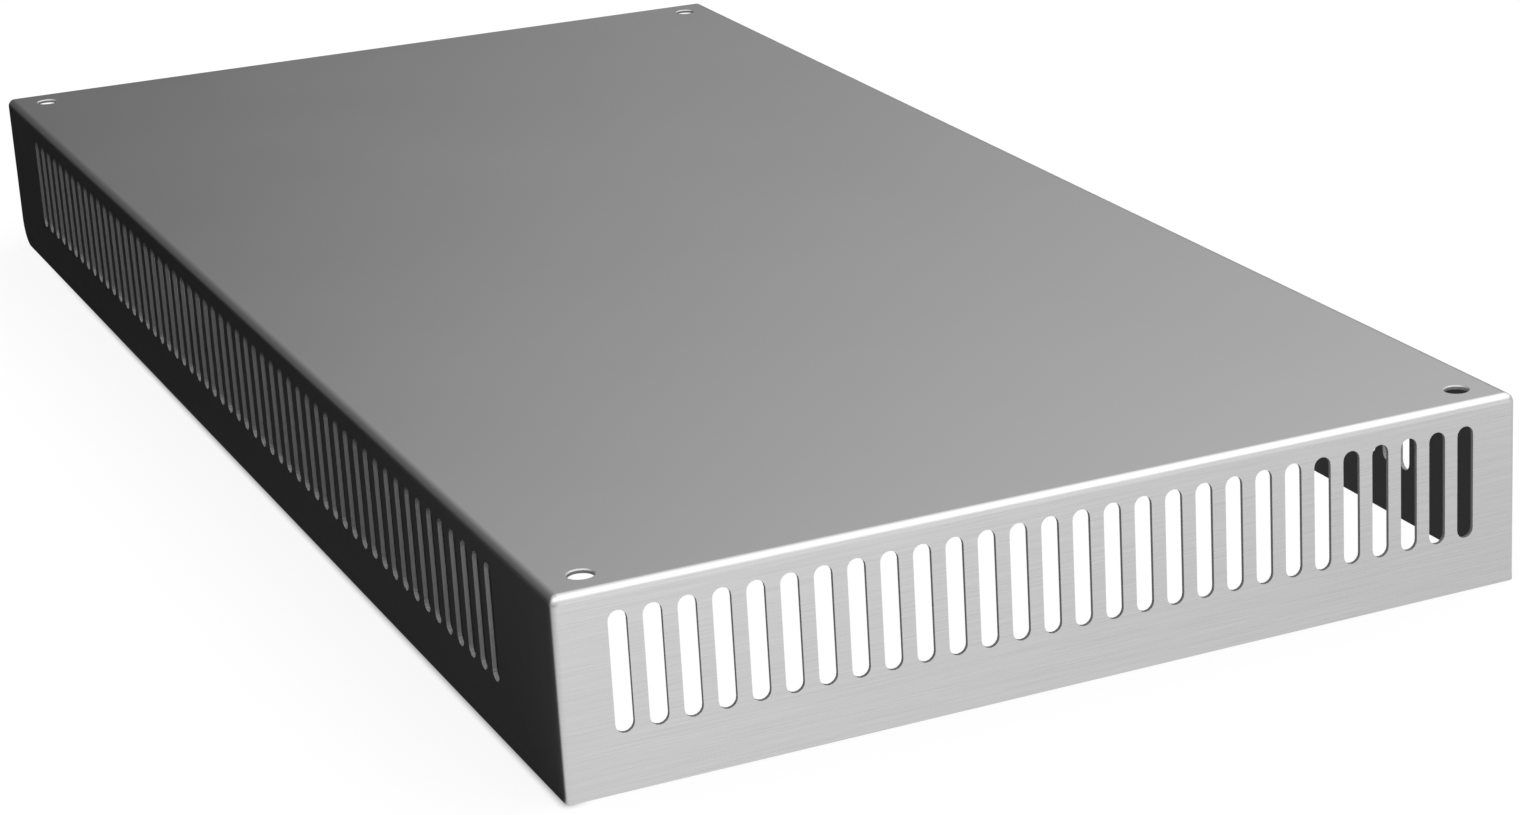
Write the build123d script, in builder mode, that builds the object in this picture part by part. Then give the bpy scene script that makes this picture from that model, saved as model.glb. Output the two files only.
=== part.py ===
from build123d import *
import os

# Vented cover of a terminal box, in millimetres: one sheet folded into a shallow tray.
# It stands open side down, as it is fitted: top plate up, X across it, Y along it, Z up.
# The front wall and both side walls are folded down, the rear end has no wall, and the
# two front corners are welded shut and dressed round.
# The origin is under the middle of the cover, level with the lower rim of its walls.

# Sheet and outside size
sheet = 1.0
width = 245.0
length = 511.0
height = 48.0

# Folds, welded corners and the rounded lower rear corners of the side walls
bend_inside_radius = 1.2
weld_outside_radius = 1.6
heel_radius = 8.0

# Vent slots, upright and round ended, the same in all three walls
slot_width = 4.5
slot_length = 28.5
slot_pitch = 8.0
slot_drop = 5.7             # from the top face to the upper end of a slot
slot_end_chords = 8         # short chords that draw a slot's round end, to keep the rows light
front_slot_room = 14.0      # least wall beside the outer front slots, to their centres
left_slot_start = 41.7      # from the front face to the centre of the left wall's first slot
right_slot_start = 39.8     # the same in the right wall, whose row sits a little further forward
side_slot_room = 35.0       # least wall behind the last side slot, to its centre

# Screw holes in the corners of the top plate
screw_hole_diameter = 6.0
screw_inset_side = 10.5     # from the outer face of a side wall to the hole's centre
screw_inset_front = 10.0    # from the outer face of the front wall to the hole's centre
screw_inset_rear = 10.0     # from the rear edge to the hole's centre
screw_edge_bevel = 0.3      # the hole's upper edge is deburred to a small bevel

# Worked out from the sizes above
front_y = -length / 2
rear_y = length / 2
bend_outside_radius = bend_inside_radius + sheet
cut_depth = 2 * sheet
slot_middle_z = height - slot_drop - slot_length / 2
front_slot_count = 1 + int((width - 2 * front_slot_room) / slot_pitch)
screw_x = width / 2 - screw_inset_side
screw_places = [
    (side * screw_x, end_y)
    for side in (-1, 1)
    for end_y in (front_y + screw_inset_front, rear_y - screw_inset_rear)
]


# The slots' places along a side wall, as (y, z) from the first slot backwards
def side_row(start):
    count = 1 + int((length - start - side_slot_room) / slot_pitch)
    return [(front_y + start + slot_pitch * number, slot_middle_z) for number in range(count)]


left_row = side_row(left_slot_start)
right_row = side_row(right_slot_start)

# One slot, upright: straight sides and a round end above and below
with BuildSketch() as slot_outline:
    Rectangle(slot_width, slot_length - slot_width)
    with GridLocations(0, slot_length - slot_width, 1, 2):
        RegularPolygon(slot_width / 2, 2 * slot_end_chords)

with BuildPart() as vented_cover:
    # The outer form of the tray, with its folds rounded along the top
    with BuildSketch():
        Rectangle(width, length)
    extrude(amount=height)
    top_edges = vented_cover.edges().group_by(Axis.Z)[-1]
    folded_edges = top_edges.sort_by(Axis.Y)[:-1]
    fillet(folded_edges, bend_outside_radius)

    # The two upright front corners, whose weld is dressed round
    front_corners = vented_cover.edges().filter_by(Axis.Z).group_by(Axis.Y)[0]
    fillet(front_corners, weld_outside_radius)

    # Hollowed to the thickness of the sheet, open below and at the rear
    open_bottom = vented_cover.faces().sort_by(Axis.Z)[0]
    open_rear = vented_cover.faces().sort_by(Axis.Y)[-1]
    offset(amount=-sheet, openings=[open_bottom, open_rear])

    # The lower rear corner of each side wall is cut round
    rear_rim = vented_cover.edges().filter_by(Axis.X).group_by(Axis.Y)[-1]
    heels = rear_rim.group_by(Axis.Z)[0]
    fillet(heels, heel_radius)

    # Screw holes in the top plate, with their upper edges bevelled
    with BuildSketch(Plane.XY.offset(height)):
        with Locations(*screw_places):
            Circle(screw_hole_diameter / 2)
    extrude(amount=-cut_depth, mode=Mode.SUBTRACT)
    screw_rims = vented_cover.edges().filter_by(GeomType.CIRCLE).group_by(Axis.Z)[-1]
    chamfer(screw_rims, screw_edge_bevel)

    # Row of slots in the front wall
    with BuildSketch(Plane.XZ.offset(-front_y)):
        with Locations((0, slot_middle_z)):
            with GridLocations(slot_pitch, 0, front_slot_count, 1):
                add(slot_outline.sketch)
    extrude(amount=-cut_depth, mode=Mode.SUBTRACT)

    # Row of slots in the left wall
    with BuildSketch(Plane.YZ.offset(-width / 2)):
        with Locations(*left_row):
            add(slot_outline.sketch)
    extrude(amount=cut_depth, mode=Mode.SUBTRACT)

    # Row of slots in the right wall
    with BuildSketch(Plane.YZ.offset(width / 2)):
        with Locations(*right_row):
            add(slot_outline.sketch)
    extrude(amount=-cut_depth, mode=Mode.SUBTRACT)

vented_cover.part.label = "vented_cover"
os.makedirs("parts", exist_ok=True)
export_step(vented_cover.part, "parts/vented_cover.step")
print("slots: front", front_slot_count, "left", len(left_row), "right", len(right_row))
print("screw rims bevelled", len(screw_rims), "volume", round(vented_cover.part.volume))
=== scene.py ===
# %% [markdown]
# # The vented cover of a terminal box
#
# This notebook dresses one folded sheet of stainless steel: a shallow tray with a row of
# vent slots in each wall and a screw hole in each corner of its top. It stands open side
# down on a pale floor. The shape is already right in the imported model, folds, slots and
# all, so nothing here is remodelled. What is left to make is what the eye reads as metal:
# the satin grain of the sheet, and the bright and dark surroundings that it mirrors.

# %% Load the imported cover
import bpy
import math
from mathutils import Matrix, Vector


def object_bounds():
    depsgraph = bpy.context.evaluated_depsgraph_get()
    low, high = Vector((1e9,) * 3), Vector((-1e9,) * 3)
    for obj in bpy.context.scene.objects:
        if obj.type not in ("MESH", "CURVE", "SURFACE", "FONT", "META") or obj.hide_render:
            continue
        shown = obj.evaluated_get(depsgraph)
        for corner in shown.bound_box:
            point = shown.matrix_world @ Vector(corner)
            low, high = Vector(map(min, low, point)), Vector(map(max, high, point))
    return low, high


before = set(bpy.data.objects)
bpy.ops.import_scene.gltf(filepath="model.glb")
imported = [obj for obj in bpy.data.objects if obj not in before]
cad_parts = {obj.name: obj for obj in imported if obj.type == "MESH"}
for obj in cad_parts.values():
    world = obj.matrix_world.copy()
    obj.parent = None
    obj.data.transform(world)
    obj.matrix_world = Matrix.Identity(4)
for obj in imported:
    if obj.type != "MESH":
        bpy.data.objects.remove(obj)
cad_low, cad_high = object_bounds()
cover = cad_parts["vented_cover"]
print("cover from", tuple(cad_low), "to", tuple(cad_high), "metres")

# %% [markdown]
# ## Small helpers for shader nodes
#
# A material is a small machine of nodes. Making a node, setting its values and linking its
# inputs is the same three lines every time, so one helper does it. A value is set by the
# name of its socket or by its number, and a link is made when the value is itself a socket.

# %% A helper that adds one node
def add_node(tree, kind, settings=None, sockets=None):
    node = tree.nodes.new(kind)
    for name, value in (settings or {}).items():
        setattr(node, name, value)
    for key, value in (sockets or {}).items():
        socket = node.inputs[key]
        if isinstance(value, bpy.types.NodeSocket):
            tree.links.new(value, socket)
        else:
            socket.default_value = value
    return node


# %% Helpers for sums and products
def maths(tree, operation, first, second=0.0):
    sockets = {0: first, 1: second}
    return add_node(tree, "ShaderNodeMath", {"operation": operation}, sockets).outputs[0]


def product(tree, first, *others):
    for other in others:
        first = maths(tree, "MULTIPLY", first, other)
    return first


def total(tree, first, *others):
    for other in others:
        first = maths(tree, "ADD", first, other)
    return first


def largest(tree, first, *others):
    for other in others:
        first = maths(tree, "MAXIMUM", first, other)
    return first


# %% [markdown]
# Most masks here fade softly from one place to another. The next helper is such a fade: it
# gives `low` where the value is at `start`, `high` where it is at `end`, and an S-shaped
# slope between them. The start may lie above the end, which turns the fade round. The Mix
# node keeps one set of sockets for numbers and another for colours, all with the same
# names, so its inputs are told apart by their places.

# %% Helpers for soft steps and mixes
def soft_step(tree, value, start, end, low=0.0, high=1.0):
    settings = {"interpolation_type": "SMOOTHSTEP"}
    sockets = {"Value": value, "From Min": start, "From Max": end, "To Min": low, "To Max": high}
    return add_node(tree, "ShaderNodeMapRange", settings, sockets).outputs["Result"]


def mix_values(tree, share, first, second):
    sockets = {"Factor": share, 2: first, 3: second}
    return add_node(tree, "ShaderNodeMix", {"data_type": "FLOAT"}, sockets).outputs[0]


def mix_colours(tree, share, first, second):
    sockets = {"Factor": share, 6: first, 7: second}
    return add_node(tree, "ShaderNodeMix", {"data_type": "RGBA"}, sockets).outputs[2]


# %% A helper that opens a new group with named sockets
def new_group(name, inputs, outputs):
    group = bpy.data.node_groups.new(name, "ShaderNodeTree")
    for label, kind, value in inputs:
        socket = group.interface.new_socket(label, in_out="INPUT", socket_type=kind)
        socket.default_value = value
    for label, kind in outputs:
        group.interface.new_socket(label, in_out="OUTPUT", socket_type=kind)
    entry = group.nodes.new("NodeGroupInput")
    exit_ = group.nodes.new("NodeGroupOutput")
    return group, entry, exit_


# %% [markdown]
# ## The grain of the sheet
#
# The sheet was ground with a belt before it was cut and folded, so its grain runs one way
# over the flat blank: across the cover. Folding carries it along. On the top plate and the
# front wall the scratches lie level, across the cover, and on the side walls they stand
# upright. A stretched noise gives the scratches. On the top and the sides they are thin
# along the cover's length and long in the other two directions, which follows the fold by
# itself. The front wall needs its own noise, thin in height, and the surface's normal tells
# which of the two a point takes.

# %% Sizes of the grain, in metres
grain_length = 0.028
grain_width = 0.00042
scratch_detail = 3.0
scratch_breakup = 0.65
mottle_size = 0.060
mottle_detail = 2.0

# %% The group that draws long scratches
def make_scratches():
    group, entry, exit_ = new_group(
        "long_scratches",
        [("Along", "NodeSocketFloat", 1.0), ("Across", "NodeSocketFloat", 1.0)],
        [("On Top And Sides", "NodeSocketFloat"), ("On Front", "NodeSocketFloat")],
    )
    place = add_node(group, "ShaderNodeTexCoord").outputs["Object"]
    parts = add_node(group, "ShaderNodeSeparateXYZ", None, {0: place}).outputs
    along, across = entry.outputs["Along"], entry.outputs["Across"]
    coarse = [maths(group, "MULTIPLY", parts[axis], along) for axis in "XYZ"]
    fine = [maths(group, "MULTIPLY", parts[axis], across) for axis in "XYZ"]
    for output, vector in (
        ("On Top And Sides", (coarse[0], fine[1], coarse[2])),
        ("On Front", (coarse[0], coarse[1], fine[2])),
    ):
        spot = add_node(group, "ShaderNodeCombineXYZ", None, dict(enumerate(vector)))
        sockets = {
            "Vector": spot.outputs[0], "Scale": 1.0,
            "Detail": scratch_detail, "Roughness": scratch_breakup,
        }
        noise = add_node(group, "ShaderNodeTexNoise", None, sockets)
        group.links.new(noise.outputs["Fac"], exit_.inputs[output])
    return group


scratches = make_scratches()
print("group", scratches.name, "with sockets", [s.name for s in scratches.interface.items_tree])

# %% [markdown]
# The group gives two scratch patterns, and the wall or plate that a point is on takes one.
# In a studio shot the front wall catches the light, so its scratches show more: their
# contrast is raised there. The top plate and the sides mirror a smooth part of the studio
# and read as calm metal, so only a share of their scratches is kept.

# %% Choose the scratches by the way the surface faces
front_turn = (0.35, 0.75)
front_contrast = (0.24, 0.76)
calm_share = 0.3
noise_middle = 0.5


def draw_grain(tree, normal):
    sockets = {"Along": 1 / grain_length, "Across": 1 / grain_width}
    drawn = add_node(tree, "ShaderNodeGroup", {"node_tree": scratches}, sockets).outputs
    front = soft_step(tree, maths(tree, "ABSOLUTE", normal["Y"]), *front_turn)
    front_grain = soft_step(tree, drawn["On Front"], *front_contrast)
    calm_grain = mix_values(tree, calm_share, noise_middle, drawn["On Top And Sides"])
    return mix_values(tree, front, calm_grain, front_grain)


# %% [markdown]
# ## Cut edges
#
# The slots, the holes and the rims were cut after grinding, so their narrow faces are not
# polished: they are darker and matt, and they draw the thin dark line beside every slot. A
# mask finds them by place and normal. In a wall, a face that looks along the wall instead
# of out of it is a cut. In the top plate, so is one that looks sideways. The folds and the
# two welded corners also turn the normal, so they are left out by their place.

# %% Sizes that tell a cut edge from a fold
wall_depth = 0.0013
bend_reach = 0.0023
edge_turn = (0.85, 0.55)


# %% The mask of the cut edges
def find_cut_edges(tree, place, normal):
    def turned_from(axis):
        return soft_step(tree, maths(tree, "ABSOLUTE", normal[axis]), *edge_turn)

    sideways = maths(tree, "ABSOLUTE", place["X"])
    in_side = maths(tree, "GREATER_THAN", sideways, cad_high.x - wall_depth)
    in_front = maths(tree, "LESS_THAN", place["Y"], cad_low.y + wall_depth)
    below_fold = maths(tree, "LESS_THAN", place["Z"], cad_high.z - bend_reach)
    above_fold = maths(tree, "SUBTRACT", 1.0, below_fold)
    behind_fold = maths(tree, "GREATER_THAN", place["Y"], cad_low.y + bend_reach)
    inside_folds = maths(tree, "LESS_THAN", sideways, cad_high.x - bend_reach)

    side = product(tree, in_side, turned_from("X"), behind_fold, below_fold)
    front = product(tree, in_front, turned_from("Y"), inside_folds, below_fold)
    top = product(tree, above_fold, turned_from("Z"), inside_folds, behind_fold)
    return maths(tree, "MINIMUM", total(tree, side, front, top), 1.0)


# %% [markdown]
# ## Satin stainless steel
#
# The sheet is bare metal, so its colour is the tint of its mirror image, and it has no
# paint or coat. Four things vary over it: the scratches, a broad faint mottle where the
# belt pressed harder, the rougher patch where the two front corners were welded and
# dressed, and the matt cut edges. The scratches reach the colour only a little. Most of
# their work is done by the roughness and by a very low bump.

# %% Values of the steel
steel_tint = (0.60, 0.60, 0.605, 1)
steel_shade = (0.54, 0.54, 0.548, 1)
cut_tint = (0.32, 0.32, 0.32, 1)
satin_roughness = 0.30
grain_roughness = 0.10
mottle_roughness = 0.02
weld_roughness = 0.05
cut_roughness = 0.6
cut_metallic = 0.5
weld_span = (0.004, 0.001)
grain_height = 0.000004
grain_strength = 0.5


# %% The dressed weld of the two front corners
def find_welds(tree, place):
    start, full = weld_span
    sideways = maths(tree, "ABSOLUTE", place["X"])
    near_side = soft_step(tree, sideways, cad_high.x - start, cad_high.x - full)
    near_front = soft_step(tree, place["Y"], cad_low.y + start, cad_low.y + full)
    return product(tree, near_side, near_front)


# %% Build the steel
def make_steel():
    material = bpy.data.materials.new("satin_stainless_steel")
    material.use_nodes = True
    tree = material.node_tree
    shader = tree.nodes["Principled BSDF"]
    coords = add_node(tree, "ShaderNodeTexCoord").outputs
    normal = add_node(tree, "ShaderNodeSeparateXYZ", None, {0: coords["Normal"]}).outputs
    place = add_node(tree, "ShaderNodeSeparateXYZ", None, {0: coords["Object"]}).outputs
    grain = draw_grain(tree, normal)
    cut = find_cut_edges(tree, place, normal)
    sockets = {"Vector": coords["Object"], "Scale": 1 / mottle_size, "Detail": mottle_detail}
    mottle = add_node(tree, "ShaderNodeTexNoise", None, sockets).outputs["Fac"]

    # Colour
    tint = mix_colours(tree, grain, steel_shade, steel_tint)
    tree.links.new(mix_colours(tree, cut, tint, cut_tint), shader.inputs["Base Color"])

    # Roughness, raised or lowered about its middle value
    off_middle = maths(tree, "SUBTRACT", grain, noise_middle)
    from_grain = product(tree, off_middle, grain_roughness)
    off_middle = maths(tree, "SUBTRACT", mottle, noise_middle)
    from_mottle = product(tree, off_middle, mottle_roughness)
    from_weld = product(tree, find_welds(tree, place), weld_roughness)
    rough = total(tree, from_grain, from_mottle, from_weld, satin_roughness)
    tree.links.new(mix_values(tree, cut, rough, cut_roughness), shader.inputs["Roughness"])
    tree.links.new(mix_values(tree, cut, 1.0, cut_metallic), shader.inputs["Metallic"])

    # A very low bump
    sockets = {"Strength": grain_strength, "Distance": grain_height, "Height": grain}
    bump = add_node(tree, "ShaderNodeBump", None, sockets)
    tree.links.new(bump.outputs["Normal"], shader.inputs["Normal"])
    return material


steel = make_steel()
cover.data.materials.clear()
cover.data.materials.append(steel)
print("cover wears", [m.name for m in cover.data.materials])

# %% [markdown]
# ## The floor
#
# The floor is a plain pale sheet, and a mirror-like object shows it twice: once
# as the ground that the camera sees, and once as a reflection in its walls. The two are set
# apart with the Light Path node. To the camera the floor is nearly pure white, and keeps
# the cover's shadow as a faint grey. Only under the cover are its light and shade painted.
# To every other ray it is a glow with painted levels, so what the walls mirror is painted light.

# %% Make the floor
floor_size = 12.0
floor_drop = 0.0003
floor_colour = (0.85, 0.85, 0.85, 1)
camera_white = 0.8

bpy.ops.object.select_all(action="DESELECT")
bpy.ops.mesh.primitive_plane_add(size=floor_size, location=(0, 0, cad_low.z - floor_drop))
floor = bpy.context.object
floor.name = "floor"
print("floor", floor_size, "metres square")

# %% [markdown]
# Under the cover the camera sees painted light and shade, not the lit floor. Painted shade
# makes the ground dark, as it is under any lid. A painted band of light lies behind the
# front wall, where light through its slots would fall, and fades towards the middle. A
# painted shadow of the near left corner cuts that band off along a slanted line, and beside
# the left wall a strip of painted shade stays dark all the way. At the open rear, the
# painted ground gives way to the plain lit floor over a stretch.

# %% Sizes and levels of the painted light and shade on the ground under the cover
edge_soft = 0.002
painted_ground_rear_end = (0.01, 0.15)
band_fade = (0.345, 0.135)
corner_shadow_slant = 3.0
shadow_slant_soft = (-0.01, 0.02)
shade_strip_edge = (0.045, 0.070)
shade_strip_start = (0.165, 0.125)
middle_under = 0.15
# painted shade: the emission level of the dark ground under the cover
painted_shade_under = 0.012


# %% One under the cover, where the ground is painted, nought outside it
def find_under(tree, place):
    sideways = maths(tree, "ABSOLUTE", place["X"])
    between_sides = soft_step(tree, sideways, cad_high.x + edge_soft, cad_high.x - edge_soft)
    behind_front = soft_step(tree, place["Y"], cad_low.y - edge_soft, cad_low.y + edge_soft)
    near, far = [cad_high.y - reach for reach in painted_ground_rear_end]
    return product(tree, between_sides, behind_front, soft_step(tree, place["Y"], near, far))


# %% The painted light and painted shade on the ground under the cover
def painted_light_under(tree, place):
    past_front = maths(tree, "SUBTRACT", place["Y"], cad_low.y)
    past_left = maths(tree, "SUBTRACT", place["X"], cad_low.x)
    # painted shadow of the near left corner along a slanted line, and a strip of painted shade
    right_of_slant = maths(tree, "SUBTRACT", product(tree, past_left, corner_shadow_slant), past_front)
    by_slant = soft_step(tree, right_of_slant, *shadow_slant_soft)
    by_strip = soft_step(tree, past_left, *shade_strip_edge)
    lit = mix_values(tree, soft_step(tree, past_front, *shade_strip_start), by_strip, by_slant)
    # a painted band of light behind the front wall, fading towards the middle
    band = soft_step(tree, past_front, *band_fade, middle_under, 1.0)
    return largest(tree, product(tree, band, lit), painted_shade_under)


# %% [markdown]
# What the steel mirrors is a glow painted on the floor, a plain level for each stretch of
# it, and not a lit surface. In front it is bright, which gives the front wall its light grey.
# It falls a little to the right, and it rises further ahead, so that the wall grows lighter
# towards its fold. It fades round the near left corner, so that the dressed corner turns
# softly from light to dark. Along the left it is painted nearly black, so the left wall reads
# as dark steel, and it lifts again further out. Under the cover a low level of painted shade
# keeps the inside dark.

# %% Levels of the painted glow that the steel mirrors, and how far they reach
front_mirrored = 1.09
right_mirrored = 0.91
front_span = (-0.15, 0.25)
foot_share = 0.93
foot_reach = 0.15
far_ahead_share = 1.4
far_ahead_span = (-0.12, -0.40)
far_left_share = 0.10
far_left_span = (-0.40, -0.16)
corner_fade = (0.9, -0.2)
left_mirrored = 0.017
rear_mirrored = 0.004
side_mirrored = 0.30
side_span = (0.07, 0.25)
side_fade = (0.25, -0.20)
inside_mirrored = 0.045


# %% The painted glow level mirrored from each place on the floor
def painted_floor_glow(tree, place, under):
    past_front = maths(tree, "SUBTRACT", place["Y"], cad_low.y)
    off_left = maths(tree, "SUBTRACT", cad_low.x, place["X"])
    round_corner = maths(tree, "DIVIDE", past_front, largest(tree, off_left, 2 * edge_soft))
    ahead = soft_step(tree, round_corner, *corner_fade)
    beside = soft_step(tree, place["X"], cad_high.x, cad_high.x + 2 * edge_soft)
    bright = soft_step(tree, place["X"], *front_span, front_mirrored, right_mirrored)
    from_far_left = soft_step(tree, place["X"], *far_left_span, far_left_share, 1.0)
    from_foot = soft_step(tree, past_front, 0.0, -foot_reach, foot_share, 1.0)
    far_ahead = soft_step(tree, past_front, *far_ahead_span, 1.0, far_ahead_share)
    open_floor = product(tree, largest(tree, ahead, beside), bright, from_far_left)
    open_floor = product(tree, open_floor, from_foot, far_ahead)

    # painted dark: nearly black levels beside the left wall and behind, which the left wall
    # mirrors
    dark = soft_step(tree, place["Y"], cad_low.y, cad_high.y, left_mirrored, rear_mirrored)
    out_left = soft_step(tree, off_left, *side_span, 0.0, side_mirrored)
    out_left = product(tree, out_left, soft_step(tree, place["Y"], *side_fade))
    # under the cover a low level of painted shade, mirrored by the inner faces
    return largest(tree, open_floor, dark, out_left, product(tree, under, inside_mirrored))


# %% Build the floor's material
def make_floor_material():
    material = bpy.data.materials.new("pale_floor_painted_light")
    material.use_nodes = True
    tree = material.node_tree
    tree.nodes.clear()
    by_camera = add_node(tree, "ShaderNodeLightPath").outputs["Is Camera Ray"]
    coords = add_node(tree, "ShaderNodeTexCoord").outputs["Object"]
    place = add_node(tree, "ShaderNodeSeparateXYZ", None, {0: coords}).outputs
    under = find_under(tree, place)

    def glow(strength):
        return add_node(tree, "ShaderNodeEmission", None, {"Strength": strength}).outputs[0]

    def blend(share, first, second):
        sockets = {0: share, 1: first, 2: second}
        return add_node(tree, "ShaderNodeMixShader", None, sockets).outputs[0]

    matt = add_node(tree, "ShaderNodeBsdfDiffuse", None, {"Color": floor_colour}).outputs[0]
    outside = blend(camera_white, matt, glow(1.0))
    # under the cover the camera sees the painted light and shade as an emission
    seen = blend(under, outside, glow(painted_light_under(tree, place)))
    # every ray but the camera's sees the floor as this painted glow, mirrored as painted
    # reflection
    mirrored = glow(painted_floor_glow(tree, place, under))
    surface = blend(by_camera, mirrored, seen)
    add_node(tree, "ShaderNodeOutputMaterial", None, {"Surface": surface})
    return material


floor.data.materials.append(make_floor_material())
print("floor wears", floor.data.materials[0].name)

# %% [markdown]
# ## The light
#
# Satin steel shows its surroundings, so the studio is a smooth dome of light and needs no
# lamp. The dome is dark behind and to the left, and grows brighter towards one soft light
# high on the right and in front. The top plate mirrors the part behind the cover, and
# takes from it an even fall from the front right corner to the rear left one. The front
# fold mirrors the soft light itself, which draws its white line.
#
# Each stop below pairs a direction with a level. The direction is a cosine, -1 straight
# away from the soft light and 1 at its middle. A colour ramp runs from 0 to 1 instead, so
# it takes half the cosine plus a half, and its levels are shares of the brightest one.

# %% Levels of the dome, from the side away from the light to the light itself
key_direction = Vector((0.55, -0.25, 0.80)).normalized()
dome_stops = (
    (-1.00, 0.01), (-0.50, 0.09), (-0.20, 0.20), (0.05, 0.32), (0.15, 0.50),
    (0.25, 0.74), (0.38, 0.98), (0.60, 1.25), (0.80, 1.90), (1.00, 2.60),
)
brightest = dome_stops[-1][1]
halfway = 0.5
dome_left = 0.93
dome_right = 1.17
dome_span = (0.10, 0.58)
front_glow = 0.5
front_glow_span = (-0.55, -1.0)


# %% The dome's own light, by its angle from the soft light
def angle_to(tree, direction, target):
    settings = {"operation": "DOT_PRODUCT"}
    sockets = {0: direction, 1: target}
    return add_node(tree, "ShaderNodeVectorMath", settings, sockets).outputs["Value"]


def light_around(tree, direction, part):
    halved = product(tree, angle_to(tree, direction, key_direction), halfway)
    ramp = add_node(tree, "ShaderNodeValToRGB", None, {"Fac": total(tree, halved, halfway)})
    stops = ramp.color_ramp
    stops.interpolation = "B_SPLINE"
    while len(stops.elements) < len(dome_stops):
        stops.elements.new(halfway)
    for element, (towards_light, light_level) in zip(stops.elements, dome_stops):
        grey = light_level / brightest
        element.position = (towards_light + 1) * halfway
        element.color = (grey, grey, grey, 1)
    around = product(tree, ramp.outputs["Color"], brightest)
    glow = soft_step(tree, part["Y"], *front_glow_span, 0.0, front_glow)
    sideways = soft_step(tree, part["X"], *dome_span, dome_left, dome_right)
    return product(tree, total(tree, around, glow), sideways)


# %% [markdown]
# A dark curtain hangs low behind the cover, like the unlit end of a studio. The rear of the
# top plate is seen at the flattest angle and mirrors it, so the plate darkens to the rear.
# The curtain is taller on the left and thinner on the right.

# %% The curtain low behind the cover
curtain_behind = (0.2, 0.6)
curtain_left_end = (-0.45, -0.05)
curtain_height = 0.45
curtain_height_left = 0.62
curtain_height_span = (0.32, 0.14)
curtain_full = 0.16
curtain_right = 0.77
curtain_thin_span = (0.12, 0.30)


def hang_curtain(tree, part):
    behind = soft_step(tree, part["Y"], *curtain_behind)
    not_left = soft_step(tree, part["X"], *curtain_left_end)
    heights = (curtain_height, curtain_height_left)
    top_edge = soft_step(tree, part["X"], *curtain_height_span, *heights)
    low_down = soft_step(tree, part["Z"], top_edge, curtain_full)
    thinner = soft_step(tree, part["X"], *curtain_thin_span, 1.0, curtain_right)
    return product(tree, behind, not_left, low_down, thinner)


# %% [markdown]
# Two small helps follow. Where the front fold, the left fold and the weld meet, the near
# left corner is a rounded patch no larger than a grain of rice. It mirrors the dome's left
# front, and a soft light there gives it its bright spot. And low in front and at the sides
# the dome is held to a plain level, which the top plate mirrors when it is seen from
# behind, so that it looks like pale steel from there and not like a lamp.

# %% The corner's light and the plain level low in front
corner_direction = Vector((-0.60, -0.25, 0.76)).normalized()
corner_spread = (0.70, 0.93)
corner_glow = 1.4
corner_fill = 0.75
corner_fill_span = (-0.2, -0.6)
ahead_span = (0.45, 0.05)
plain_height = (0.75, 0.50)
plain_left = 1.0
plain_front = 1.45
plain_right = 0.95
plain_left_span = (0.00, 0.27)
plain_right_span = (0.48, 0.70)
no_limit = 2 * brightest


def light_corner(tree, direction, part, low_ahead):
    spot = angle_to(tree, direction, corner_direction)
    spot = soft_step(tree, spot, *corner_spread, 0.0, corner_glow)
    fill = soft_step(tree, part["X"], *corner_fill_span, 0.0, corner_fill)
    return total(tree, spot, product(tree, fill, low_ahead))


def most_allowed(tree, part, low_ahead):
    on_left = soft_step(tree, part["X"], *plain_left_span, plain_left, plain_front)
    on_right = soft_step(tree, part["X"], *plain_right_span, plain_front, plain_right)
    plain = maths(tree, "MINIMUM", on_left, on_right)
    return soft_step(tree, low_ahead, 0.0, 1.0, no_limit, plain)


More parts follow.
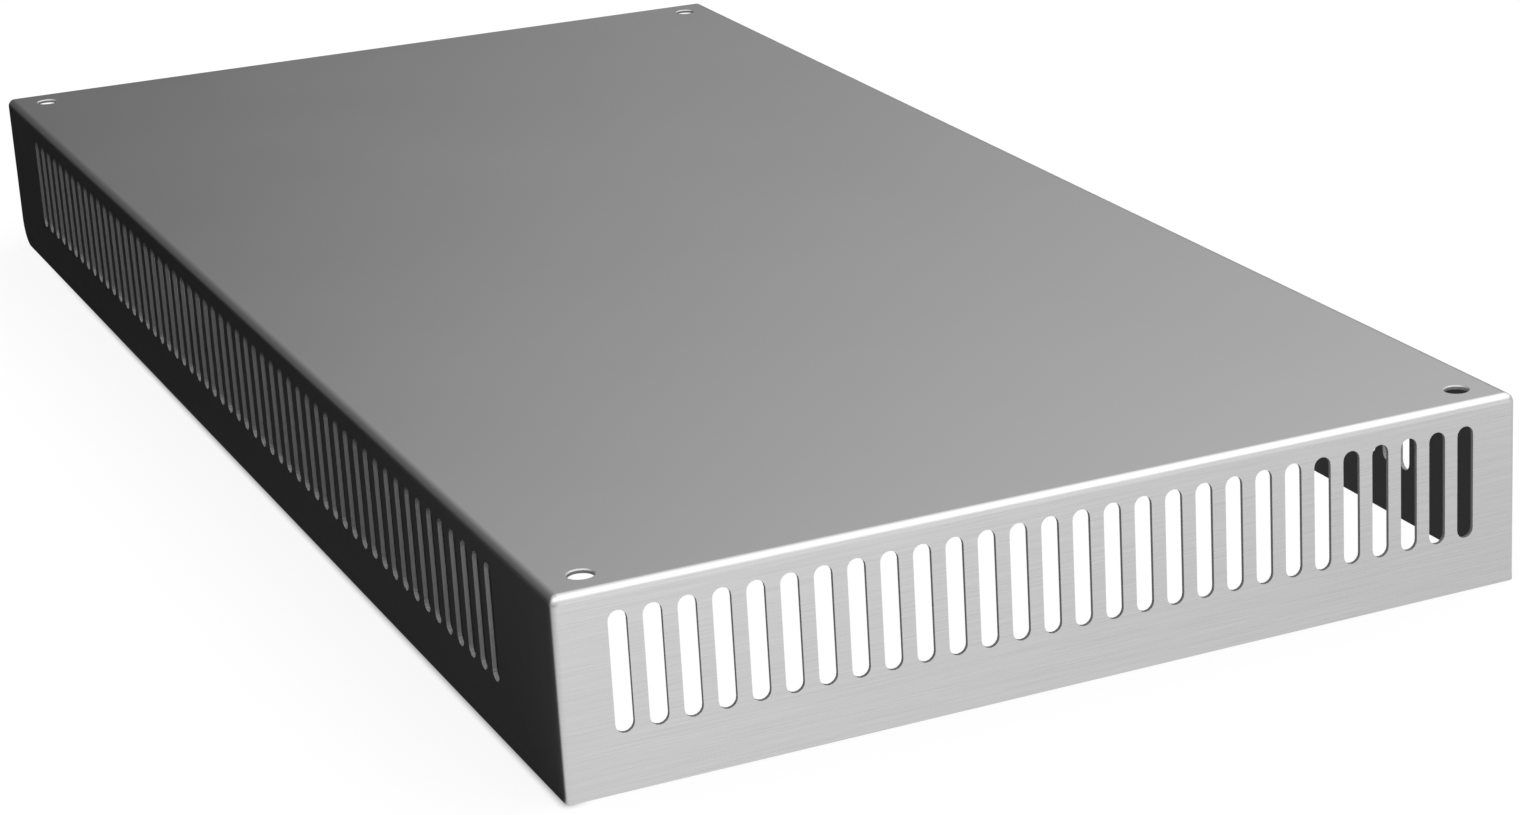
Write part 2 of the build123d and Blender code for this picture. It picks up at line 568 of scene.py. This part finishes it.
# %% Build the dome, which the camera itself sees as a white backdrop
def make_dome():
    world = bpy.data.worlds.new("studio_dome")
    world.use_nodes = True
    tree = world.node_tree
    tree.nodes.clear()
    by_camera = add_node(tree, "ShaderNodeLightPath").outputs["Is Camera Ray"]
    direction = add_node(tree, "ShaderNodeTexCoord").outputs["Generated"]
    part = add_node(tree, "ShaderNodeSeparateXYZ", None, {0: direction}).outputs

    uncovered = maths(tree, "SUBTRACT", 1.0, hang_curtain(tree, part))
    level = product(tree, light_around(tree, direction, part), uncovered)
    ahead = soft_step(tree, part["Y"], *ahead_span)
    low_ahead = product(tree, ahead, soft_step(tree, part["Z"], *plain_height))
    level = total(tree, level, light_corner(tree, direction, part, low_ahead))
    level = maths(tree, "MINIMUM", level, most_allowed(tree, part, low_ahead))

    lit = add_node(tree, "ShaderNodeBackground", None, {"Strength": level}).outputs[0]
    white = add_node(tree, "ShaderNodeBackground", None, {"Strength": 1.0}).outputs[0]
    sockets = {0: by_camera, 1: lit, 2: white}
    seen = add_node(tree, "ShaderNodeMixShader", None, sockets).outputs[0]
    add_node(tree, "ShaderNodeOutputWorld", None, {"Surface": seen})
    return world


bpy.context.scene.world = make_dome()
print("dome brightest towards", tuple(round(v, 2) for v in key_direction))

# %% [markdown]
# ## The camera
#
# The camera looks down on the near left corner from the front, with a long lens. Its
# frame isn't centred on the lens, so a small part of that offset is kept as a shift.

# %% Place the camera
camera_place = Vector((-0.3529, -0.9450, 0.3358))
camera_azimuth = -27.661
camera_elevation = 18.528
camera_roll = -1.723
camera_lens = 86.80
camera_shift = (-0.220, -0.025)
sensor_width = 36.0

camera_data = bpy.data.cameras.new("camera")
camera = bpy.data.objects.new("camera", camera_data)
bpy.context.scene.collection.objects.link(camera)
turn = Matrix.Rotation(math.radians(camera_azimuth), 4, "Z")
tilt = Matrix.Rotation(math.radians(90 - camera_elevation), 4, "X")
roll = Matrix.Rotation(math.radians(camera_roll), 4, "Z")
camera.matrix_world = Matrix.Translation(camera_place) @ turn @ tilt @ roll
camera_data.sensor_width = sensor_width
camera_data.lens = camera_lens
camera_data.shift_x, camera_data.shift_y = camera_shift
bpy.context.scene.camera = camera
bpy.context.scene.view_settings.view_transform = "Standard"
print("camera at", tuple(camera_place))
